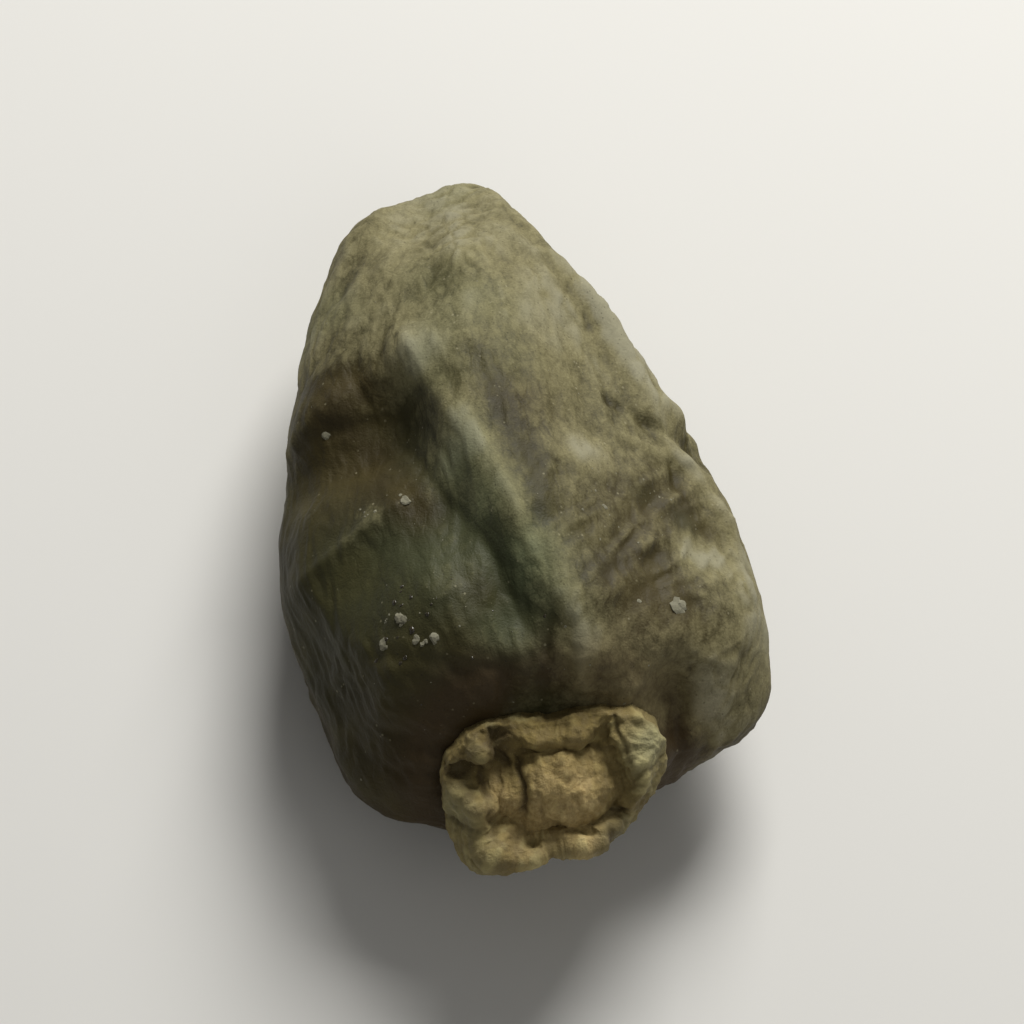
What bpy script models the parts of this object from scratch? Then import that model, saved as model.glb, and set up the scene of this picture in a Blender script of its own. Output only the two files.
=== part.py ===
"""A dried marking nut, with the torn remains of its receptacle.

The nut is heart-shaped and flattened: a narrow apex, a broad base with two shoulders, and faces that
drew in to soft flats and creases as it dried. It lies on its back with its apex towards +Y. The
receptacle is the withered cup of flesh that it grew on. It is set into the base, tilted up towards the
creased face, and its pith has sunk inside a ragged rim.
"""

import math

import bmesh
import bpy
from mathutils import Matrix, Vector, noise
from mathutils.bvhtree import BVHTree

# Driving dimensions, in metres. Across is X, along is Y and thick is Z.
NUT_LENGTH = 0.0295
NUT_WIDTH = 0.0205
FACE_DEPTH = 0.0072
BACK_DEPTH = 0.0062
APEX_LEAN = -0.0006
RESTING_SPOT = 0.00055
SEAM = 0.0003

# The outline against an ellipse, and the depth against it: mean, lean to the apex, and blunt ends.
WIDTH_FULLNESS = (0.91, -0.26, 0.19)
DEPTH_FULLNESS = (0.95, -0.22, 0.12)

# Flats that the faces shrank to: lean to the right, lean to the apex (degrees), and depth.
FLATS = (
    (29, 4, 0.0013),
    (-12, 38, 0.0008),
    (-31, 2, 0.0010),
    (-24, -46, 0.0006),
    (30, -44, 0.0005),
    (-74, -24, 0.0012),
    (76, 34, 0.0019),
    (154, 10, 0.0006),
    (-156, 24, 0.0007),
    (-148, -26, 0.0005),
)
FLAT_EDGE = 0.00020

# Creases on the face. Their ends are in shares of the half width and half length. Then come the height
# of the crest, its reach to the side where the skin slopes gently, and the depth of the valley that
# runs along its steep side, which is on the right of the way from start to end.
FACE_CREASES = (
    ((-0.36, 0.28), (0.10, -0.56), 0.00048, 0.0030, 0.00060),
    ((-0.92, 0.15), (-0.44, 0.26), 0.00048, 0.0016, 0.00050),
    ((0.17, -0.58), (0.20, -0.74), 0.00030, 0.0012, 0.00020),
    ((-0.10, 0.80), (-0.12, 0.32), 0.00020, 0.0018, 0.00022),
    ((-0.80, -0.29), (-0.44, -0.17), 0.00024, 0.0009, 0.00012),
    ((0.28, -0.52), (0.66, -0.24), 0.00016, 0.0007, 0.00014),
    ((0.26, -0.34), (0.52, -0.18), 0.00014, 0.0007, 0.00014),
    ((0.46, -0.13), (0.76, -0.11), 0.00014, 0.0007, 0.00014),
    ((0.44, 0.44), (0.68, 0.02), 0.00022, 0.0009, 0.00016),
)
CREST_STEEP_REACH = 0.0010
VALLEY_OFFSET = 0.0021
VALLEY_REACH = 0.0014
CREASE_TAPER = 0.0016

# Hollows (negative) and swellings on the two faces: place in the same shares, reach and height.
FACE_SPOTS = (
    (-0.62, 0.02, 0.0019, -0.00050),
    (-0.38, -0.46, 0.0026, 0.00055),
    (0.24, -0.12, 0.0010, 0.00034),
    (0.72, -0.10, 0.0012, -0.00045),
    (0.50, -0.57, 0.0018, 0.00022),
    (0.86, -0.58, 0.0022, 0.00030),
    (0.52, -0.80, 0.0013, -0.00060),
    (-0.60, -0.74, 0.0020, 0.00025),
)
BACK_SPOTS = (
    (0.42, 0.42, 0.0024, -0.00045),
    (-0.40, 0.10, 0.0026, -0.00035),
    (0.55, -0.40, 0.0022, -0.00040),
    (-0.50, -0.58, 0.0018, -0.00030),
)

# How far round the edge each face's relief fades, as the upward share of a point's direction.
FACE_FADE = (-0.05, 0.35)

# The margin where the two faces meet, which fades towards both ends, and the scar of the style.
MARGIN_HEIGHT = 0.00022
MARGIN_REACH = 0.13
MARGIN_ENDS = (0.75, 0.95)
STYLE_SCAR_PLACE = Vector((-0.02, 0.99, 0.10))
STYLE_SCAR_REACH = 0.085
STYLE_SCAR_HEIGHT = 0.00015

# Swellings and sinks (negative) of the edge: lean to the right, lean to the apex (degrees), reach and
# height. On the left is the shoulder by the apex. The next two are the shoulders of the base. The right
# edge is drawn in above its middle, with a notch where the skin folded over.
EDGE_SPOTS = (
    (-80, 27, 0.40, 0.0003),
    (-76, 60, 0.20, 0.0006),
    (102, -44, 0.20, 0.0011),
    (-106, -58, 0.34, 0.0010),
    (84, 19, 0.55, -0.00154),
    (88, 13, 0.11, -0.00085),
)

# Fine lengthwise wrinkles, the patches that they come in, and the gentle unevenness of a dried skin.
WRINKLE_HEIGHT = 0.00013
WRINKLE_ACROSS = 0.0019
WRINKLE_ALONG = 0.0085
WRINKLE_SHARPNESS = 2.2
WRINKLE_PATCH = 0.0075
WRINKLE_FAINTEST = 0.35
UNEVEN_HEIGHT = 0.00020
UNEVEN_SIZE = 0.0046

# The receptacle's seat in the base: its frame, and the shallow dish pressed there.
SEAT_POINT = Vector((0.0002, -0.0137, 0.0014))
SEAT_TILT = math.radians(36)
SEAT_RADIUS = 0.0044
SEAT_DISH = 0.0005
SEAT_LIP = 1.35

# The receptacle: outline, torn rim, pith, and crags. Heights are above the seat.
CUP_HALF_WIDTH = 0.0044
CUP_HALF_HEIGHT = 0.0031
CUP_SQUARENESS = 2.7
CUP_LOBES = ((20, 24, 0.10), (95, 44, -0.17), (172, 22, 0.05), (212, 26, 0.10), (242, 26, 0.15), (318, 30, -0.03))
CUP_TEETH = 0.06
CUP_TEETH_ROUND = 4.0
RIM_HEIGHT = 0.0019
RIM_FALL_TO_FACE = 0.0009
RIM_RAGGED = 0.00045
RIM_RAGGED_ROUND = 1.6
RIM_TORN = 0.00034
RIM_TORN_ROUND = 4.5
RIM_PLACE = 0.78
RIM_REACH = 0.24
PITH_HEIGHT = 0.0018
PITH_MIDDLE = (0.0002, -0.0004)
PITH_HALF_WIDTH = 0.0029
PITH_HALF_HEIGHT = 0.0018
PITH_FALL = (0.3, 1.4)
FLOOR_HEIGHT = 0.0005
SPLIT_TURNS = (43, 134, 166, 332)
SPLIT_DEPTH = 0.0008
SPLIT_REACH = 10
CUP_LEAST = 0.0007
CRAG_SIZE = 0.0011
CRAG_HEIGHT = 0.00026

# Mesh fineness: squares along a side of the nut's cage, and steps round and over the receptacle. Its
# steps run over the top as far as the first share of the way, and then down the wall to the second.
NUT_SQUARES = 30
CUP_AROUND = 56
CUP_STEPS = 26
CUP_TOP_SHARE = 0.62
CUP_WALL_SHARE = 0.80


def clear_scene():
    for obj in list(bpy.data.objects):
        bpy.data.objects.remove(obj, do_unlink=True)


def bell(distance, reach):
    """1 at distance 0, falling smoothly away over the reach."""
    return math.exp(-((distance / reach) ** 2))


def ramp(value, start, end):
    """0 before start, 1 after end, and smooth between them."""
    share = min(1.0, max(0.0, (value - start) / (end - start)))
    return share * share * (3 - 2 * share)


def soft_excess(value, edge):
    """About value where it is positive and 0 where it is negative, turning over a soft edge."""
    scaled = value / edge
    if scaled > 30:
        return value
    return edge * math.log1p(math.exp(scaled))


def noise_at(place, key):
    """Smooth noise from about -1 to 1. Each key gives noise of its own."""
    return noise.noise(place + Vector((key, 0.7 * key, 1.9 * key)))


def plain_material(name, colour, roughness):
    material = bpy.data.materials.new(name)
    material.use_nodes = True
    shader = material.node_tree.nodes["Principled BSDF"]
    shader.inputs["Base Color"].default_value = (*colour, 1.0)
    shader.inputs["Roughness"].default_value = roughness
    shader.inputs["Metallic"].default_value = 0.0
    return material


def add_object(name, bm, material, collection):
    mesh = bpy.data.meshes.new(name)
    bm.to_mesh(mesh)
    bm.free()
    mesh.shade_smooth()
    mesh.materials.append(material)
    collection.objects.link(bpy.data.objects.new(name, mesh))


def round_cage(squares):
    """A ball of even squares: a cube with its sides divided, each point then set on the unit sphere."""
    bm = bmesh.new()
    bmesh.ops.create_cube(bm, size=2.0)
    bmesh.ops.subdivide_edges(bm, edges=bm.edges[:], cuts=squares - 1, use_grid_fill=True)
    for vert in bm.verts:
        evened = Vector(math.tan(c * math.pi / 4) for c in vert.co)
        vert.co = evened.normalized()
    return bm


def fullness(along, mean, lean, blunting):
    return mean + lean * along + blunting * along**2


def smooth_form(direction):
    """The nut's form before it shrank, for a direction from its middle."""
    across = fullness(direction.y, *WIDTH_FULLNESS) * NUT_WIDTH / 2
    depth = FACE_DEPTH if direction.z > 0 else BACK_DEPTH
    thick = fullness(direction.y, *DEPTH_FULLNESS) * depth
    lean = APEX_LEAN * max(0.0, direction.y) ** 2
    return Vector((across * direction.x + lean, NUT_LENGTH / 2 * direction.y, thick * direction.z))


def leaning(to_right, to_apex):
    """A unit vector from straight up, leaned to the right and then to the apex."""
    right = math.radians(to_right)
    apex = math.radians(to_apex)
    return Vector((math.sin(right) * math.cos(apex), math.sin(apex), math.cos(right) * math.cos(apex)))


def press_flats(bm):
    for to_right, to_apex, depth in FLATS:
        normal = leaning(to_right, to_apex)
        plane = max(vert.co.dot(normal) for vert in bm.verts) - depth
        for vert in bm.verts:
            vert.co -= normal * soft_excess(vert.co.dot(normal) - plane, FLAT_EDGE)


def face_place(u, v):
    """A place on the face in metres, from shares of the half width and half length."""
    return Vector((u * NUT_WIDTH / 2, v * NUT_LENGTH / 2))


def crease_height(place, start, end, crest, gentle_reach, valley):
    """A crest from start to end, with a valley along its right, both running out past the ends."""
    start = face_place(*start)
    run = face_place(*end) - start
    length = run.length
    way = run / length
    off = place - start
    along = off.dot(way)
    beyond = max(0.0, -along, along - length)
    to_right = off.dot(Vector((way.y, -way.x)))
    reach = CREST_STEEP_REACH if to_right > 0 else gentle_reach
    shape = crest * bell(to_right, reach) - valley * bell(to_right - VALLEY_OFFSET, VALLEY_REACH)
    return shape * bell(beyond, CREASE_TAPER)


def spots_height(spots, place):
    return sum(height * bell((place - face_place(u, v)).length, reach) for u, v, reach, height in spots)


def wrinkle_height(point):
    """Low wrinkles that run along the nut, in patches, on gently uneven skin."""
    place = Vector((point.x / WRINKLE_ACROSS, point.y / WRINKLE_ALONG, point.z / WRINKLE_ACROSS))
    bend = noise_at(place / 2, 0.0)
    fold = 1 - abs(noise_at(place + Vector((bend, 0, bend)), 0.0)) * WRINKLE_SHARPNESS
    patch = ramp(noise_at(point / WRINKLE_PATCH, 3.1), -0.35, 0.35)
    strength = WRINKLE_FAINTEST + (1 - WRINKLE_FAINTEST) * patch
    return WRINKLE_HEIGHT * fold * strength + UNEVEN_HEIGHT * noise_at(point / UNEVEN_SIZE, 7.7)


def relief(direction, point):
    """How far the skin stands out at a point of the flattened form."""
    place = point.xy
    along = point.y / (NUT_LENGTH / 2)
    face = ramp(direction.z, *FACE_FADE)
    back = ramp(-direction.z, *FACE_FADE)
    creases = sum(crease_height(place, *crease) for crease in FACE_CREASES)
    height = face * (creases + spots_height(FACE_SPOTS, place))
    height += back * spots_height(BACK_SPOTS, place)
    height += MARGIN_HEIGHT * bell(direction.z, MARGIN_REACH) * (1 - ramp(abs(along), *MARGIN_ENDS))
    scar = (direction - STYLE_SCAR_PLACE.normalized()).length
    height += STYLE_SCAR_HEIGHT * (bell(scar, STYLE_SCAR_REACH) - 0.8 * bell(scar, STYLE_SCAR_REACH / 3))
    for to_right, to_apex, reach, swelling in EDGE_SPOTS:
        height += swelling * bell((direction - leaning(to_right, to_apex)).length, reach)
    return height + wrinkle_height(point)


def seat_matrix():
    """The seat's own frame: X across, Y up towards the face, Z out of the base."""
    outward = Vector((0, -math.cos(SEAT_TILT), math.sin(SEAT_TILT)))
    across = Vector((1, 0, 0))
    turn = Matrix((across, outward.cross(across), outward)).transposed().to_4x4()
    return Matrix.Translation(SEAT_POINT) @ turn


def press_seat(bm):
    """The shallow dish in the nut's base that the receptacle grew on."""
    to_world = seat_matrix()
    to_seat = to_world.inverted()
    for vert in bm.verts:
        local = to_seat @ vert.co
        radius = local.xy.length
        if local.z < -SEAT_RADIUS or radius > SEAT_LIP * SEAT_RADIUS:
            continue
        dish = SEAT_DISH * ((radius / SEAT_RADIUS) ** 2 - 1)
        inside = 1 - ramp(radius, SEAT_RADIUS, SEAT_LIP * SEAT_RADIUS)
        local.z -= inside * soft_excess(local.z - dish, FLAT_EDGE / 2)
        vert.co = to_world @ local


def press_resting_spot(bm):
    """The little flat under the nut that it lies on."""
    floor = min(vert.co.z for vert in bm.verts) + RESTING_SPOT
    for vert in bm.verts:
        vert.co.z = max(vert.co.z, floor)


def build_nut():
    bm = round_cage(NUT_SQUARES)
    directions = [vert.co.copy() for vert in bm.verts]
    for vert in bm.verts:
        vert.co = smooth_form(vert.co)
    press_flats(bm)
    bm.normal_update()
    heights = [relief(direction, vert.co) for vert, direction in zip(bm.verts, directions)]
    moves = [vert.normal * height for vert, height in zip(bm.verts, heights)]
    for vert, move in zip(bm.verts, moves):
        vert.co += move
    press_seat(bm)
    press_resting_spot(bm)
    return bm


class Seat:
    """Where the nut's skin lies under each place of the seat's frame."""

    def __init__(self, nut):
        self.to_world = seat_matrix()
        self.to_seat = self.to_world.inverted()
        self.skin = BVHTree.FromBMesh(nut)
        self.inward = -self.to_world.col[2].xyz

    def skin_height(self, x, y):
        """The skin's height in the seat's frame, or a low place where there is no skin below."""
        start = self.to_world @ Vector((x, y, 2 * SEAT_RADIUS))
        hit = self.skin.ray_cast(start, self.inward)[0]
        if hit is None:
            return -SEAT_RADIUS / 2
        return (self.to_seat @ hit).z

    def clear_height(self, x, y):
        """The lowest height that keeps the seam open over the skin here and close by."""
        near = ((0, 0), (SEAM, 0), (-SEAM, 0), (0, SEAM), (0, -SEAM))
        return SEAM + max(self.skin_height(x + aside, y + up) for aside, up in near)


def noise_round(turn, fineness, key):
    """Noise round the receptacle, the same at the start and end of the turn."""
    return noise_at(Vector((math.cos(turn), math.sin(turn), 0)) * fineness, key)


def turn_bell(turn, place, reach):
    """A bell round the receptacle, with its place and reach in degrees."""
    return bell(math.remainder(turn - math.radians(place), math.tau), math.radians(reach))


def cup_radius(turn):
    """The receptacle's outer edge: a squarish oval with withered lobes and teeth."""
    width = (abs(math.cos(turn)) / CUP_HALF_WIDTH) ** CUP_SQUARENESS
    height = (abs(math.sin(turn)) / CUP_HALF_HEIGHT) ** CUP_SQUARENESS
    oval = (width + height) ** (-1 / CUP_SQUARENESS)
    lobes = sum(share * turn_bell(turn, place, reach) for place, reach, share in CUP_LOBES)
    return oval * (1 + lobes + CUP_TEETH * noise_round(turn, CUP_TEETH_ROUND, 9.3))


def pith_height(x, y):
    """The height of the torn pith, which is nearly level and falls away to the rim."""
    share = math.hypot((x - PITH_MIDDLE[0]) / PITH_HALF_WIDTH, (y - PITH_MIDDLE[1]) / PITH_HALF_HEIGHT)
    return PITH_HEIGHT * (1 - ramp(share, *PITH_FALL))


def rim_height(turn, share):
    """The height of the torn rim, at a share of the way from the receptacle's middle to its edge."""
    crest = RIM_HEIGHT - RIM_FALL_TO_FACE * math.sin(turn)
    crest += RIM_RAGGED * noise_round(turn, RIM_RAGGED_ROUND, 5.5)
    crest += RIM_TORN * noise_round(turn, RIM_TORN_ROUND, 1.5)
    crest -= SPLIT_DEPTH * max(turn_bell(turn, split, SPLIT_REACH) for split in SPLIT_TURNS)
    return crest * bell(share - RIM_PLACE, RIM_REACH)


def craggy(point):
    """A push this way and that, for broken, crumbly flesh."""
    return Vector(noise_at(point / CRAG_SIZE, key) for key in (11, 23, 37)) * CRAG_HEIGHT


def cup_point(turn, down, seat):
    """A point of the receptacle. down runs from 0 at its middle, over its rim, to 1 below its middle."""
    if down > CUP_WALL_SHARE:
        share = (1 - down) / (1 - CUP_WALL_SHARE)
    else:
        share = min(1.0, down / CUP_TOP_SHARE)
    radius = cup_radius(turn) * share
    x = radius * math.cos(turn)
    y = radius * math.sin(turn)
    under = seat.clear_height(x, y)
    if down >= CUP_WALL_SHARE:
        return Vector((x, y, under))
    wall = min(1.0, (CUP_WALL_SHARE - down) / (CUP_WALL_SHARE - CUP_TOP_SHARE))
    top = max(rim_height(turn, share), pith_height(x, y)) + FLOOR_HEIGHT * (1 - share**3)
    top = max(top, under + CUP_LEAST)
    point = Vector((x, y, under + (top - under) * wall))
    point += craggy(point) * ramp(point.z - under, 0.0, CUP_LEAST)
    point.z = max(point.z, seat.clear_height(point.x, point.y))
    return point


def build_receptacle(seat):
    """A ball drawn out to a cup: its upper half to the rim and pith, its lower half to the seat."""
    bm = bmesh.new()
    bmesh.ops.create_uvsphere(bm, u_segments=CUP_AROUND, v_segments=CUP_STEPS, radius=1.0)
    for vert in bm.verts:
        turn = math.atan2(vert.co.y, vert.co.x)
        down = math.acos(max(-1.0, min(1.0, vert.co.z))) / math.pi
        vert.co = seat.to_world @ cup_point(turn, down, seat)
    bmesh.ops.recalc_face_normals(bm, faces=bm.faces[:])
    return bm


def stand_at_origin(bodies):
    """Moves the meshes together so that the whole is centred on the origin and rests at height 0."""
    points = [vert.co for bm in bodies for vert in bm.verts]
    lowest = Vector(min(p[axis] for p in points) for axis in range(3))
    highest = Vector(max(p[axis] for p in points) for axis in range(3))
    middle = (lowest + highest) / 2
    shift = Matrix.Translation((-middle.x, -middle.y, -lowest.z))
    for bm in bodies:
        bm.transform(shift)


def build():
    clear_scene()
    collection = bpy.data.collections.new("marking_nut")
    bpy.context.scene.collection.children.link(collection)
    skin = plain_material("nut_skin", (0.045, 0.041, 0.025), 0.42)
    flesh = plain_material("withered_flesh", (0.150, 0.110, 0.055), 0.85)
    nut = build_nut()
    receptacle = build_receptacle(Seat(nut))
    stand_at_origin([nut, receptacle])
    add_object("nut_body", nut, skin, collection)
    add_object("receptacle", receptacle, flesh, collection)


build()
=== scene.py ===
"""A dried marking nut that lies on its back, seen from above its torn receptacle."""

import math
import random

import bmesh
import bpy
from mathutils import Matrix, Vector, noise
from mathutils.bvhtree import BVHTree


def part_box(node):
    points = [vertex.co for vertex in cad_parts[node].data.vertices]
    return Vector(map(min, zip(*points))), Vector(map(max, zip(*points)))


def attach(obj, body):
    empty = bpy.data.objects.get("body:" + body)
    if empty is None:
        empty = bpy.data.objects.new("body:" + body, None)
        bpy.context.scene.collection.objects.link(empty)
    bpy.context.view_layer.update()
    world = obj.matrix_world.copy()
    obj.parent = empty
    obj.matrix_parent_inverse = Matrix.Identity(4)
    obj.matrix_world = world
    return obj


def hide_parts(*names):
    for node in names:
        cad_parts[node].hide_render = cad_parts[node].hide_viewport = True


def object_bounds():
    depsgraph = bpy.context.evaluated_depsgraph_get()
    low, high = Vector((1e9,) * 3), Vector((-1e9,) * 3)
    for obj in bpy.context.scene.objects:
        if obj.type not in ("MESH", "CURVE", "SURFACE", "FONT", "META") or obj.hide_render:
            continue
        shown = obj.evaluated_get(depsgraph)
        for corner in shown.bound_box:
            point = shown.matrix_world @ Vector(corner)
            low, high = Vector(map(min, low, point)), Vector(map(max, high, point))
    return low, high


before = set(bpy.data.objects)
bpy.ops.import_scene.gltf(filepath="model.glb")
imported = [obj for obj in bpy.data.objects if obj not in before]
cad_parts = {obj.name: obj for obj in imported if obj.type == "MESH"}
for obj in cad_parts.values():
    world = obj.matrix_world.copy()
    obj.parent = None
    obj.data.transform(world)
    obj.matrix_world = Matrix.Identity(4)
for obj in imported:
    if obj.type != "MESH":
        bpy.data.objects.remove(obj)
cad_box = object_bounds()


# ---- The nut's shell -------------------------------------------------------------------------------
# A hard, leathery skin that drew in over the kernel as it dried, in long folds with sharp crests. It is
# olive black under a film of pale dust, greener in its valleys, and bare and oily on its lower left.
# Light and shade are painted into it too: darker in creases, on the left flank and round the base,
# lighter in the valley left of the ridge, with a painted sheen on the swelling.
# It is one closed skin over the imported solid, with the folds pushed into its mesh.

nut_low, nut_high = (Vector(corner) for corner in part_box("nut_body"))
nut_middle = (nut_low + nut_high) / 2
HALF_WIDTH = (nut_high.x - nut_low.x) / 2
HALF_LENGTH = (nut_high.y - nut_low.y) / 2

# Sharp lines drawn on the large forms: both ends in shares of the half width and length, the height of
# a crest or the depth of a crease, and its reach.
SKIN_LINES = (
    ((-0.36, 0.28), (0.10, -0.56), 0.00018, 0.00036),
    ((-0.92, 0.15), (-0.44, 0.26), 0.00012, 0.00040),
    ((0.17, -0.58), (0.20, -0.74), 0.00012, 0.00036),
    ((-0.10, 0.80), (-0.12, 0.32), 0.00008, 0.00040),
    ((-0.84, -0.30), (-0.50, -0.19), 0.00013, 0.00030),
    ((0.36, -0.52), (0.52, -0.38), 0.00017, 0.00026),
    ((0.55, -0.29), (0.69, -0.19), 0.00018, 0.00026),
    ((0.50, -0.02), (0.73, -0.06), 0.00014, 0.00034),
    ((0.73, -0.06), (0.88, -0.22), 0.00018, 0.00038),
    ((0.88, -0.22), (0.96, -0.51), 0.00016, 0.00042),
    ((0.44, 0.44), (0.68, 0.02), 0.00014, 0.00040),
    ((-0.40, -0.02), (-0.04, -0.60), -0.00012, 0.00030),
    ((-0.60, -0.64), (-0.30, -0.74), -0.00013, 0.00030),
    ((-0.30, -0.74), (-0.02, -0.72), -0.00013, 0.00030),
    ((-0.76, 0.13), (-0.40, 0.15), -0.00010, 0.00030),
    ((0.34, 0.46), (0.58, 0.06), -0.00012, 0.00030),
    ((0.57, -0.80), (0.59, -1.08), -0.00046, 0.00056),
    ((0.64, -0.01), (0.70, -0.18), -0.00013, 0.00026),
    ((0.10, -0.62), (0.00, -0.82), -0.00010, 0.00030),
    ((-0.10, 0.22), (0.09, -0.29), -0.00006, 0.00070),
    ((0.52, 0.08), (0.74, 0.00), -0.00018, 0.00034),
    ((0.78, 0.00), (1.06, -0.06), -0.00048, 0.00085),
    ((0.74, 0.12), (1.00, 0.06), 0.00032, 0.00070),
    ((-0.63, 0.60), (-0.56, 0.70), -0.00028, 0.00045),
)
LINE_TAPER = 0.0012
LINE_WANDER_SIZE, LINE_WANDER = 0.0036, 0.00040
LINE_SWING_SIZE, LINE_STRENGTH, LINE_SWING = 0.0016, 0.85, 0.40

# Patches of the face: place in the same shares, reach in metres, and what each adds to the dust, green,
# brown and oil. Some of them paint shade or light, as marked.
FACE_PATCHES = (
    ((-0.05, 0.88), 0.0042, (0.06, 0.00, 0.00, 0.00)),
    ((0.30, 0.78), 0.0030, (-0.10, 0.00, 0.00, 0.00)),
    ((-0.20, 0.50), 0.0018, (-0.24, 0.25, 0.00, 0.00)),
    ((0.30, 0.50), 0.0050, (0.04, 0.00, 0.00, 0.00)),
    ((0.54, 0.34), 0.0030, (0.38, 0.00, 0.00, 0.00)),
    # Painted light: pale dust that lifts the shade on the inner slope of the upper left hollow.
    ((-0.33, 0.24), 0.0013, (0.44, 0.15, 0.00, 0.00)),
    ((-0.12, 0.24), 0.0017, (-0.02, 0.00, 0.15, 0.00)),
    ((0.06, 0.04), 0.0020, (-0.14, 0.00, 0.20, 0.00)),
    ((0.30, -0.10), 0.0011, (0.56, 0.00, 0.00, 0.00)),
    # Painted shade: the next four darken the hollow on the left, with less dust and more brown.
    ((-0.70, 0.26), 0.0011, (-0.50, 0.00, 0.20, 0.00)),
    ((-0.56, 0.25), 0.0010, (-0.40, 0.00, 0.20, 0.00)),
    ((-0.74, 0.16), 0.0018, (-0.24, 0.00, 0.25, 0.00)),
    ((-0.58, -0.02), 0.0026, (-0.42, 0.00, 0.40, 0.10)),
    # Painted light: the next three lighten the valley left of the ridge with dust and green, where the lamps
    # leave it dark.
    ((-0.22, -0.02), 0.0015, (0.50, 0.30, 0.00, 0.00)),
    ((-0.26, -0.14), 0.0013, (0.86, 0.90, 0.00, 0.00)),
    ((-0.15, -0.26), 0.0012, (0.56, 0.60, 0.00, 0.00)),
    ((-0.06, -0.48), 0.0018, (0.02, 0.80, 0.00, 0.05)),
    ((0.04, -0.44), 0.0010, (0.34, 0.25, 0.00, 0.00)),
    ((0.11, -0.57), 0.0010, (0.44, 0.25, 0.00, 0.00)),
    ((0.29, -0.55), 0.0011, (-0.16, 0.00, 0.10, 0.00)),
    ((0.19, -0.68), 0.0010, (0.40, 0.20, 0.00, 0.00)),
    ((-0.02, -0.75), 0.0015, (0.16, 0.40, -0.30, 0.00)),
    ((-0.46, -0.40), 0.0044, (-0.26, 0.45, 0.00, 0.40)),
    ((-0.54, -0.27), 0.0011, (0.24, 0.20, 0.00, 0.00)),
    ((-0.38, -0.20), 0.0016, (-0.40, -0.60, 0.10, 0.00)),
    # Painted sheen: pale dust where the swelling's soft reflection falls, then painted shade on the skin just
    # right of it.
    ((-0.29, -0.49), 0.0013, (0.10, 0.10, 0.00, 0.00)),
    ((-0.16, -0.52), 0.0012, (-0.30, -0.60, 0.00, 0.00)),
    ((-0.10, -0.66), 0.0016, (0.08, 0.60, -0.30, 0.00)),
    ((-0.61, -0.19), 0.0008, (0.60, 0.05, 0.00, 0.00)),
    ((-0.77, -0.25), 0.0009, (0.34, 0.05, 0.00, 0.00)),
    # Painted shade: the left flank, which lies in shade.
    ((-0.95, -0.35), 0.0046, (-0.34, 0.00, 0.00, 0.10)),
    # Painted shade: the next two darken the lower left shoulder and the base above the receptacle. The base
    # is partly its own purple brown and partly painted shade.
    ((-0.60, -0.85), 0.0040, (-0.20, 0.00, 0.20, 0.00)),
    ((-0.10, -0.94), 0.0027, (-0.10, 0.00, 0.70, 0.05)),
    ((0.40, -0.32), 0.0026, (-0.20, 0.00, 0.20, 0.00)),
    ((0.64, -0.22), 0.0022, (-0.16, 0.00, 0.25, 0.00)),
    ((0.53, -0.21), 0.0006, (-0.30, 0.20, 0.00, 0.00)),
    ((0.68, -0.27), 0.0006, (-0.45, 0.30, 0.00, 0.00)),
    ((0.79, -0.29), 0.0006, (-0.30, 0.00, 0.10, 0.00)),
    ((0.71, -0.38), 0.0011, (0.62, 0.10, 0.00, 0.00)),
    ((0.73, -0.05), 0.0008, (0.30, 0.00, 0.00, 0.00)),
    ((0.86, -0.16), 0.0010, (0.34, 0.00, 0.00, 0.00)),
    ((0.92, -0.36), 0.0013, (0.34, 0.00, 0.00, 0.00)),
    ((0.96, -0.54), 0.0016, (0.30, 0.00, 0.00, 0.00)),
    ((0.52, -0.56), 0.0021, (-0.44, 0.00, 0.28, 0.00)),
    ((0.24, -0.80), 0.0020, (0.20, 0.00, 0.10, 0.00)),
    ((0.46, -0.78), 0.0024, (0.24, 0.00, 0.00, 0.00)),
    ((0.66, -0.78), 0.0034, (0.44, 0.00, 0.25, 0.00)),
    ((0.72, -0.78), 0.0014, (0.18, 0.00, 0.00, 0.00)),
    # Painted shade: the groove beside the receptacle's right side.
    ((0.58, -0.98), 0.0016, (-0.80, 0.00, 0.40, 0.00)),
)

# The shown face, by how far the skin looks up, and how much oil smooths the wrinkles in it.
FACE_STARTS, FACE_FULL = -0.1, 0.35
OIL_SMOOTHS = 0.55

# Long folds, the finer ones between them, the net of creases that covers both, and pocks.
FOLD_ACROSS, FOLD_ALONG, FOLD_HEIGHT = 0.0014, 0.0052, 0.00011
FOLD_PATCH_SIZE, FOLD_WEAKEST = 0.0055, 0.35
FINE_ACROSS, FINE_ALONG, FINE_HEIGHT = 0.00060, 0.0016, 0.000055
NET_ACROSS, NET_ALONG, NET_DEPTH = 0.00095, 0.0023, 0.00005
NET_BEND_SIZE, NET_BEND, NET_WIDTH = 0.0010, 0.00028, 0.16
NET_PATCH_SIZE, NET_PATCH_SHIFT = 0.0036, Vector((9, 4, 1))
POCK_SPACING, POCK_REACH, POCK_DEPTH = 0.0019, 0.00020, 0.00006
POCK_CHOICE = 3.7

# The puckered patch on the right: its place and reach, and the way and size of its crinkles.
CRINKLE_PLACE, CRINKLE_REACH = (0.52, -0.34), 0.0040
CRINKLE_WAY = Vector((0.66, 0.75))
CRINKLE_SIDE = Vector((CRINKLE_WAY.y, -CRINKLE_WAY.x))
CRINKLE_ACROSS, CRINKLE_ALONG, CRINKLE_HEIGHT = 0.00082, 0.0026, 0.00014
CRINKLE_SLICE, CRINKLE_SHARPNESS = 7.3, 2.6

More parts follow.
